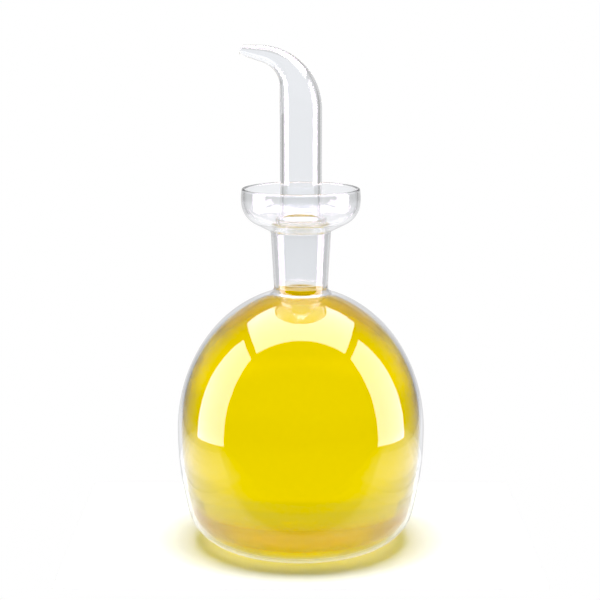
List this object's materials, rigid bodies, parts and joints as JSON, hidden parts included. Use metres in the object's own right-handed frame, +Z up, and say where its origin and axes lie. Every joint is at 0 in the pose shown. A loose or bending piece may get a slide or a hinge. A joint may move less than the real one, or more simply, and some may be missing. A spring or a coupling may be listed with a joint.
{
  "type": "oil cruet",
  "caption": "Clear blown-glass oil cruet: egg-shaped flask of yellow oil, ground tapered neck, drip cup round the mouth and a lift-out pourer with a bent, drawn-down spout.",
  "frame": {"origin": "centre of the base, on the table", "axes": "+Z up along the bottle's axis; the spout points along -X, and X-Z is the mirror plane"},
  "size_m": [0.0904, 0.0904, 0.182],
  "materials": {
    "clear_glass": "polished",
    "oil": "polished"
  },
  "bodies": {
    "bottle": {"flask": "clear_glass", "neck_socket": "clear_glass", "drip_cup": "clear_glass", "oil_fill": "oil"},
    "pourer": {"ground_cone": "clear_glass", "pouring_spout": "clear_glass"}
  },
  "joints": [
    {"name": "pourer_lift", "type": "slide", "parent": "bottle", "child": "pourer", "axis": [0, 0, 1], "range_m": [0, 0.045]}
  ]
}
